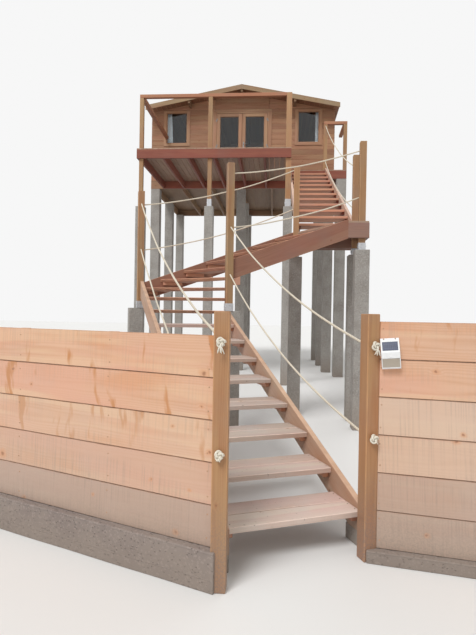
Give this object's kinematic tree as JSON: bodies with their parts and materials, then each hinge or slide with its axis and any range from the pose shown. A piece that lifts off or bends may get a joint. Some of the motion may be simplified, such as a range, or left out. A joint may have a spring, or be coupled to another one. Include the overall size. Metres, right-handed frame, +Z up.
{
  "type": "tree house",
  "caption": "Timber cabin with a railed deck on piers, reached from a gate in a board fence by an open stair that winds up a slope with rope hand lines.",
  "frame": {"origin": "Centre of the left gatepost's foot, on the lowest ground.", "axes": "+Z up, +Y uphill from the gate to the cabin, square to the cabin's front wall, +X to the right seen from the gate."},
  "size_m": [6.6701, 15.017, 7.8264],
  "materials": {
    "concrete": "cast concrete, grey-brown, pitted",
    "fence_board": "sawn softwood, light orange-tan with knots",
    "post_pine": "planed pine, yellow-tan",
    "lamp_shell": "white moulded plastic",
    "stair_timber": "weathered softwood, pinkish tan",
    "deck_timber": "stained softwood, red-brown",
    "shoe_steel": "galvanised sheet",
    "rod_steel": "dull drawn rod",
    "curtain_cloth": "thin cotton, pale blue-white",
    "cladding": "horizontal boards, orange-brown",
    "roof_felt": "bitumen felt, dark grey",
    "weathered_board": "bare board with lichen",
    "trim_timber": "planed softwood, oiled",
    "pane": "clear glass",
    "rope_cream": "laid cream rope"
  },
  "bodies": {
    "house": {"fence_plinths": "concrete", "fence_left": "fence_board", "fence_right": "fence_board", "fence_posts": "post_pine", "gatepost_left": "post_pine", "gatepost_right": "post_pine", "solar_lamp": "lamp_shell", "lower_stringers": "stair_timber", "lower_treads": "stair_timber", "turn_posts": "post_pine", "turn_treads": "stair_timber", "middle_stringers": "deck_timber", "middle_treads": "stair_timber", "landing_frame": "deck_timber", "landing_boards": "stair_timber", "landing_posts": "post_pine", "upper_stringers": "stair_timber", "upper_treads": "stair_timber", "post_shoes": "shoe_steel", "stair_piers": "concrete", "deck_piers": "concrete", "cabin_piers": "concrete", "deck_frame": "deck_timber", "deck_boards_front": "deck_timber", "deck_boards_side": "deck_timber", "deck_posts": "post_pine", "guard_rails": "deck_timber", "cabin_joists": "deck_timber", "cabin_floor": "deck_timber", "front_wall_left": "cladding", "front_wall_right": "cladding", "front_wall_over_door": "cladding", "left_wall": "cladding", "right_wall": "cladding", "back_wall": "cladding", "roof_left": "roof_felt", "roof_right": "roof_felt", "roof_beams": "cladding", "barge_boards": "weathered_board", "window_frames": "trim_timber", "window_glass": "pane", "wall_trims": "trim_timber", "curtain_rods": "rod_steel", "curtain_left": "curtain_cloth", "curtain_right": "curtain_cloth", "door_frame": "trim_timber", "rope_gate_left_upper": "rope_cream", "rope_gate_left_lower": "rope_cream", "rope_gate_right_upper": "rope_cream", "rope_gate_right_lower": "rope_cream", "rope_middle_back_upper": "rope_cream", "rope_middle_back_lower": "rope_cream", "rope_middle_front_upper": "rope_cream", "rope_middle_front_lower": "rope_cream", "rope_upper_flight_upper": "rope_cream", "rope_upper_flight_lower": "rope_cream"},
    "door_leaf_left": {"door_leaf_left": "trim_timber", "door_glass_left": "pane"},
    "door_leaf_right": {"door_leaf_right": "trim_timber", "door_glass_right": "pane"}
  },
  "joints": [
    {"name": "door_left", "type": "hinge", "parent": "house", "child": "door_leaf_left", "pos_m": [-1.3825, 10.72179, 6.2694], "axis": [0, 0, -1], "range_deg": [0, 100]},
    {"name": "door_right", "type": "hinge", "parent": "house", "child": "door_leaf_right", "pos_m": [0.0325, 10.72179, 6.2694], "axis": [0, 0, 1], "range_deg": [0, 100]}
  ]
}
